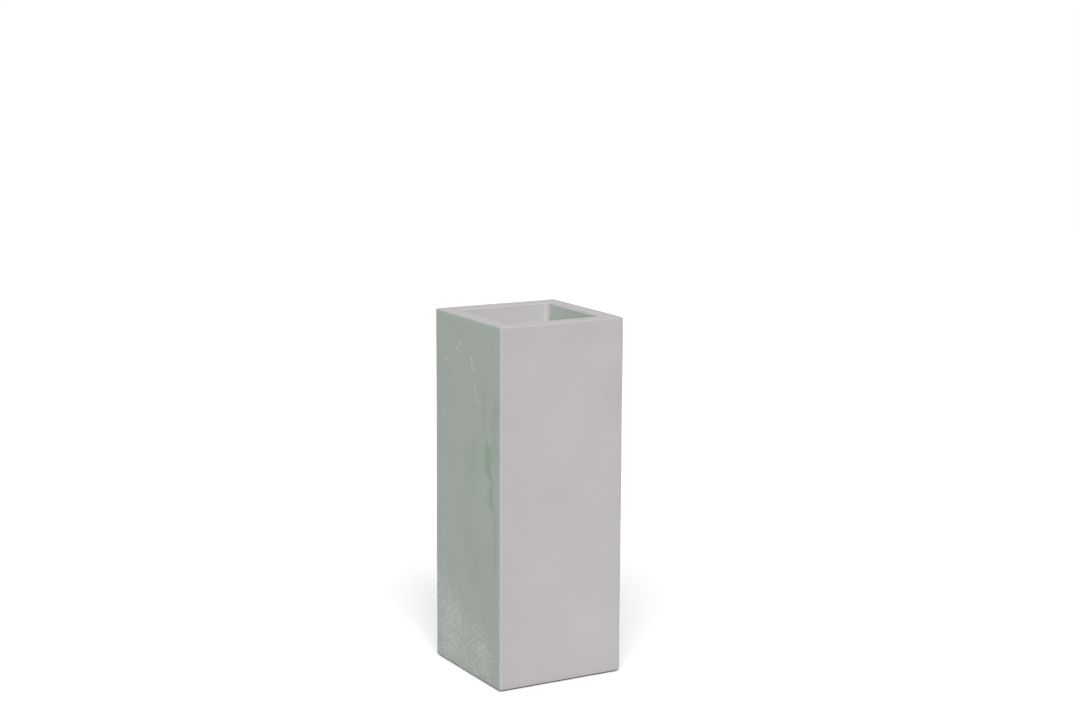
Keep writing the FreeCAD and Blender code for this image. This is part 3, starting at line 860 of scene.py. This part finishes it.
steel = stainless_steel("stainless_steel")
washer_low, washer_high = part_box("foot_washers")
screw_low, screw_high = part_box("foot_screws")
washer_radius = 0.0065
foot_offset = washer_high.x - washer_radius
washer_edge = 0.0002
head_radius = 0.00475
head_foot = screw_low.z
head_seat = washer_low.z
head_dome = 0.0016
head_flat = 0.0022
head_edge = 0.0003
shank_radius = 0.0025
shank_tip = screw_high.z
point_length = 0.005
point_radius = 0.0006
recess_length = 0.0046
recess_width = 0.0009
recess_depth = 0.0019
for corner, (toward_x, toward_y) in corners.items():
    centre = (toward_x * foot_offset, toward_y * foot_offset)
    washer = turned_piece(f"washer_{corner}", [
        (foot_hole, washer_low.z + washer_edge), (foot_hole + washer_edge, washer_low.z),
        (washer_radius - washer_edge, washer_low.z), (washer_radius, washer_low.z + washer_edge),
        (washer_radius, washer_high.z - washer_edge), (washer_radius - washer_edge, washer_high.z),
        (foot_hole + washer_edge, washer_high.z), (foot_hole, washer_high.z - washer_edge),
    ], centre, closed=True)
    end_piece(washer, 30.0)
    seat(washer, "planter", "stainless_steel", steel, "foot_washers")

    outline = [(head_radius - head_flat, head_foot)]
    outline += rounded_corner(head_radius - head_dome, head_foot + head_dome, head_dome, -1.0)
    outline += [(head_radius, head_seat - head_edge), (head_radius - head_edge, head_seat)]
    outline += [(shank_radius, head_seat), (shank_radius, shank_tip - point_length)]
    outline += [(point_radius, shank_tip)]
    screw = turned_piece(f"screw_{corner}", outline, centre, closed=False, sides=32)
    end_piece(screw, 30.0)
    head_centre = (centre[0], centre[1], head_foot)
    for across, along in ((recess_length, recess_width), (recess_width, recess_length)):
        blade = start_piece("recess_cutter")
        blade_size = (across, along, 2 * recess_depth)
        bpy.ops.mesh.primitive_cube_add(size=1.0, location=head_centre)
        bpy.ops.transform.resize(value=blade_size, center_override=head_centre)
        cut_out(screw, end_piece(blade))
    bpy.ops.object.shade_smooth_by_angle(angle=math.radians(30.0))
    seat(screw, "planter", "stainless_steel", steel, "foot_screws")

# ---------------------------------------------------------------------------------------------
# Drain plug
# A rubber bung in the floor's drain hole, with a flange that seals on the floor and a knob above
# it that is pulled from inside the column.
# ---------------------------------------------------------------------------------------------

plug_low, plug_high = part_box("drain_plug")
plug_foot = plug_low.z
plug_top = plug_high.z
floor_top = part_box("base_panel")[1].z
foot_flat = 0.004
nose_radius = 0.01242
nose_lead = 0.0050
nose_taper = 0.0012
nose_edge = 0.0010
nose_edge_height = 0.0008
flange_radius = (plug_high.x - plug_low.x) / 2
flange_thickness = 0.004
flange_top = floor_top + flange_thickness
flange_round = 0.0012
neck_radius = 0.0045
neck_fillet = 0.0015
neck_height = 0.006
knob_radius = 0.008
knob_foot = flange_top + neck_height
knob_root = 0.0012
knob_foot_round = 0.0020
knob_top_round = 0.0025
knob_flat = 0.003
outline = [(foot_flat, plug_foot), (nose_radius - nose_taper - nose_edge, plug_foot)]
outline += [(nose_radius - nose_taper, plug_foot + nose_edge_height)]
outline += [(nose_radius, plug_foot + nose_lead), (nose_radius, floor_top), (flange_radius, floor_top)]
outline += rounded_corner(flange_radius - flange_round, flange_top - flange_round, flange_round, 0.0)
outline += [(neck_radius + neck_fillet, flange_top), (neck_radius, flange_top + neck_fillet)]
outline += [(neck_radius, knob_foot - knob_root)]
outline += rounded_corner(knob_radius - knob_foot_round, knob_foot + knob_foot_round,
                          knob_foot_round, -1.0)
outline += rounded_corner(knob_radius - knob_top_round, plug_top - knob_top_round,
                          knob_top_round, 0.0)
outline += [(knob_flat, plug_top)]
plug = turned_piece("drain_bung", outline, (0.0, 0.0), closed=False)
end_piece(plug, 35.0)
plug_black = (0.036, 0.036, 0.038, 1.0)
plug_rubber = moulded_rubber("plug_rubber", plug_black, 0.0)
seat(plug, "drain_plug", "plug_rubber", plug_rubber, "drain_plug")
